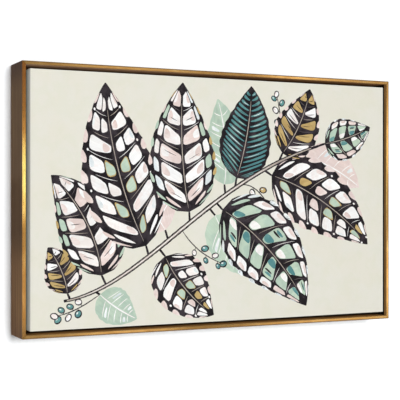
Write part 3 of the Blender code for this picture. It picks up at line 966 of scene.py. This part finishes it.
def build_cloth(surfaces):
    """The stretched cloth as one closed shell, with the picture cut into its front."""
    painting = paint_picture()
    chance = random.Random(PAINT_SEED + 1)
    outside, inside = cloth_profile()
    edge = ring(outside[0][0])
    count = len(edge)
    corners, triangles, paints, before = cut_picture(edge, painting)

    points = [(c.x * MM, CLOTH_LOW.y, CENTRE_Z + c.y * MM) for c in corners]
    faces = [tuple(triangle) for triangle in triangles]
    slots = [PRINTED] * len(faces)

    ragged = [chance.uniform(-RAGGED_EDGE, RAGGED_EDGE) for _ in range(count)]
    turn = len(outside)
    flap = turn - len(FLAP_ROWS)
    for number, (inset, depth) in enumerate((outside + inside)[1:], start=1):
        raw_edge = number in (turn - 1, turn)
        now = []
        for k, (x, z, out_x, out_z) in enumerate(ring(inset)):
            at_corner = abs(out_x * out_z) > 0.01
            slip = ragged[k] if raw_edge and not at_corner else 0.0
            x, z = x + out_x * slip, z + out_z * slip
            now.append(len(points))
            points.append((x * MM, CLOTH_LOW.y + depth * MM, CENTRE_Z + z * MM))
        slot = PRINTED if number < flap else PRIMED if number < turn else UNPRIMED
        for k in range(count):
            after = (k + 1) % count
            faces.append((before[k], now[k], now[after], before[after]))
            slots.append(slot)
            paints.append(FOLD if number <= ARC_STEPS else EDGE)
        before = now
    faces.append(tuple(reversed(before)))
    slots.append(UNPRIMED)
    paints.append(EDGE)
    flat = [*range(len(triangles)), len(faces) - 1]
    for sx, sz in ((-1, -1), (-1, 1), (1, -1), (1, 1)):
        tuck_points, tuck_faces = build_tuck(sx, sz, chance)
        faces += [tuple(len(points) + corner for corner in corners) for corners in tuck_faces]
        points += tuck_points
        slots += [PRIMED] * len(tuck_faces)
        paints += [EDGE] * len(tuck_faces)

    mesh = bpy.data.meshes.new("canvas_cloth")
    mesh.from_pydata(points, [], faces)
    for surface in surfaces:
        mesh.materials.append(surface)
    mesh.polygons.foreach_set("material_index", slots)
    smooth = [True] * len(faces)
    for number in flat:
        smooth[number] = False
    mesh.polygons.foreach_set("use_smooth", smooth)
    set_paint(mesh, painting, paints, chance)
    mesh.update()
    return add_object("canvas_cloth", mesh)


def set_paint(mesh, painting, paints, chance):
    """Gives each face its shape's two tones, its own tint, and coordinates along its stroke."""
    colours = {name: (linear(*first), linear(*second)) for name, (first, second) in PAINTS.items()}
    tints = [mix(0.05, 1.0, chance.random()) for _ in painting.shapes] + [0.0] * len(UNPAINTED)
    looks = [(colours[colour], direction) for _, colour, direction in painting.shapes]
    looks += [(colours[name], 0.0) for name in UNPAINTED]
    firsts, seconds, corner_places = [], [], []
    for face, top in zip(mesh.polygons, paints):
        (first, second), direction = looks[top]
        c, s = math.cos(direction), math.sin(direction)
        for vertex in face.vertices:
            x, y, z = mesh.vertices[vertex].co
            firsts += first
            seconds += second
            corner_places += [x * c + z * s + tints[top], z * c - x * s + y + tints[top]]
    for name, values in (("Paint", firsts), ("Other", seconds)):
        layer = mesh.color_attributes.new(name=name, type="FLOAT_COLOR", domain="CORNER")
        layer.data.foreach_set("color", values)
    layer = mesh.attributes.new(name="Tint", type="FLOAT", domain="FACE")
    layer.data.foreach_set("value", [tints[top] for top in paints])
    layer = mesh.uv_layers.new(name="Stroke")
    layer.data.foreach_set("uv", corner_places)


# Dressing the imported pieces

# Each length's inner wall in painted light and shade, its own for how light falls into the gap: its
# front colour at the left and at the right, the depths between which it changes, and its colour behind
# them.
INNER_TOP = ((204, 166, 136), (172, 128, 88), (15 * MM, 38 * MM), (134, 102, 80))
INNER_BOTTOM = ((206, 156, 98), (206, 156, 98), (12 * MM, 30 * MM), (84, 60, 40))
INNER_UPRIGHT = ((164, 124, 76), (164, 124, 76), (4.8 * MM, 6.4 * MM), (24, 20, 15))
frame_top = frame_surface("gold_leaf_top", "X", *INNER_TOP)
frame_bottom = frame_surface("gold_leaf_bottom", "X", *INNER_BOTTOM)
frame_upright = frame_surface("gold_leaf_upright", "Z", *INNER_UPRIGHT)
pine_across = pine_surface("pine_across", "X")
pine_upright = pine_surface("pine_upright", "Z")
staple_steel = metal_surface("staple_steel", (150, 150, 152), (196, 197, 200), 0.32)
screw_steel = metal_surface("screw_steel", (118, 118, 120), (170, 170, 172), 0.36)
brassed = metal_surface("hanger_plating", (150, 126, 70), (206, 180, 112), 0.34)
rubber = rubber_surface()

DRESS = {
    "frame_top_rail": frame_top,
    "frame_bottom_rail": frame_bottom,
    "frame_left_rail": frame_upright,
    "frame_right_rail": frame_upright,
    "stretcher_top_bar": pine_across,
    "stretcher_bottom_bar": pine_across,
    "stretcher_left_bar": pine_upright,
    "stretcher_right_bar": pine_upright,
    "canvas_staple": staple_steel,
    "ledge_screw": screw_steel,
    "sawtooth_hanger": brassed,
    "hanger_nail": brassed,
    "bumper": rubber,
}
EDGE_ROUNDING = {"frame_": 0.15 * MM, "sawtooth": 0.12 * MM, "ledge_screw": 0.12 * MM}
ROUNDED_FROM_DEG = 35


def dress(node, material):
    node.data.materials.clear()
    node.data.materials.append(material)


def round_edges(node, width):
    bevel = node.modifiers.new("edges", "BEVEL")
    bevel.width = width
    bevel.segments = 2
    bevel.limit_method = "ANGLE"
    bevel.angle_limit = math.radians(ROUNDED_FROM_DEG)
    bevel.harden_normals = True


for name, node in nodes.items():
    for start, material in DRESS.items():
        if name.startswith(start):
            dress(node, material)
    for start, width in EDGE_ROUNDING.items():
        if name.startswith(start):
            round_edges(node, width)

cloth = build_cloth([print_surface(), raw_cloth_surface(), primed_cloth_surface()])
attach(cloth, "root")
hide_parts("canvas")


# The room, its light and the camera


def stage_plane(name, start, end, material):
    """A plane across the room, from one (y, z) to another."""
    corners = [(-ROOM_REACH, *start), (ROOM_REACH, *start), (ROOM_REACH, *end), (-ROOM_REACH, *end)]
    mesh = bpy.data.meshes.new(name)
    mesh.from_pydata(corners, [], [(0, 1, 2, 3)])
    mesh.materials.append(material)
    plane = add_object(name, mesh)
    plane.visible_glossy = False
    plane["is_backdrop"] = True
    return plane


def softbox(
    name, place, target, width, height, radiance, shape, lights, mirrored_only=False, colour=(1, 1, 1)
):
    """An area light of even radiance, aimed at a point, that lights one collection.

    The camera doesn't see it. It lights matt surfaces alone, or else it shows in glossy ones alone."""
    lamp = bpy.data.lights.new(name, "AREA")
    lamp.shape = shape
    lamp.size, lamp.size_y = width, height
    area = width * height * (math.pi / 4 if shape == "ELLIPSE" else 1)
    lamp.energy = radiance * math.pi * area
    lamp.color = colour
    box = add_object(name, lamp)
    box.location = place
    box.rotation_mode = "QUATERNION"
    box.rotation_quaternion = (Vector(target) - Vector(place)).to_track_quat("-Z", "Y")
    box.visible_camera = False
    box.visible_glossy = mirrored_only
    box.visible_diffuse = not mirrored_only
    box.light_linking.receiver_collection = lights


wall = stage_plane("wall", (0, FLOOR_Z), (0, WALL_TOP), plaster_surface())
floor = stage_plane("floor", (-ROOM_REACH, FLOOR_Z), (ROOM_REACH, FLOOR_Z), floor_surface())
room = bpy.data.collections.new("room")
for surface in (wall, floor):
    room.objects.link(surface)
picture = bpy.data.collections.new("picture")
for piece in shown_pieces():
    picture.objects.link(piece)

MIDDLE = (0, FRONT_Y, CENTRE_Z)
softbox("wall_light", (0.094, -6.0, 0.62), (0, 0, CENTRE_Z), 1.68, 1.68, 48.0, "ELLIPSE", room)
softbox("low_picture_light", (-2.08, -5.95, -0.95), MIDDLE, 1.2, 1.2, 46.0, "ELLIPSE", picture)
softbox("high_picture_light", (-2.08, -5.95, 0.69), MIDDLE, 1.2, 1.2, 19.0, "ELLIPSE", picture)
WARM_GREEN = (0.88, 1.22, 1.06)
# Strips that the leaf on the frame's face mirrors: name, place, width, height, radiance and colour.
STRIPS = [
    ("left_upper", (0.46, -2.55, -0.065), 0.7, 0.30, 0.90, (1, 0.98, 0.86)),
    ("left_bright", (0.46, -2.55, -0.075), 0.7, 0.20, 1.85, (0.60, 1.30, 1.12)),
    ("left_lower", (0.46, -2.55, -0.46), 0.7, 0.26, 0.55, (1, 1, 1)),
    ("right_upper", (1.95, -2.55, 0.10), 1.0, 0.24, 1.3, (1, 1, 0.95)),
    ("right_lower", (1.95, -2.55, -0.48), 1.0, 0.24, 1.4, (1, 0.98, 0.92)),
    ("right_glow", (2.3, -2.55, -0.1), 1.6, 1.9, 0.15, (1, 1, 1)),
    ("top_left", (0.86, -2.55, 0.36), 0.7, 0.30, 0.24, (1, 0.98, 0.92)),
    ("top_far", (1.57, -2.55, 0.42), 0.20, 0.34, 0.8, (1, 0.97, 0.94)),
    ("low_near", (0.85, -2.55, -0.74), 0.32, 0.30, 0.50, (1, 0.97, 0.90)),
    ("near_band", (0.86, -2.55, -0.15), 0.34, 2.0, 0.34, (1, 1, 1)),
    ("far_band", (1.62, -2.55, -0.15), 0.40, 2.0, 0.28, (1, 1, 1)),
    ("left_rim_upper", (-2.28, -1.52, -0.065), 0.9, 0.30, 1.6, WARM_GREEN),
    ("left_rim_lower", (-2.28, -1.52, -0.46), 0.9, 0.26, 0.55, (1, 1, 1)),
]
for name, place, width, height, radiance, colour in STRIPS:
    softbox(name, place, MIDDLE, width, height, radiance, "RECTANGLE", picture, True, colour)
softbox("top_light", (-0.2, -1.4, 1.9), MIDDLE, 1.2, 0.6, 4.0, "RECTANGLE", picture)
softbox("back_light", (0.5, 2.4, 0.9), (0, 0, CENTRE_Z), 2.0, 1.4, 5.5, "RECTANGLE", picture)

WORLD_STRENGTH = 0.3
world = bpy.data.worlds.new("room_light")
world.use_nodes = True
background = world.node_tree.nodes["Background"]
background.inputs["Color"].default_value = (1.0, 1.0, 1.0, 1.0)
background.inputs["Strength"].default_value = WORLD_STRENGTH
bpy.context.scene.world = world
bpy.context.scene.view_settings.view_transform = "Standard"

lens = bpy.data.cameras.new("camera")
lens.lens = CAMERA_LENS_MM
lens.sensor_width = SENSOR_MM
camera = add_object("camera", lens)
camera.location = CAMERA_PLACE
camera.rotation_euler = (math.radians(90), 0, math.radians(-CAMERA_YAW_DEG))
bpy.context.scene.camera = camera
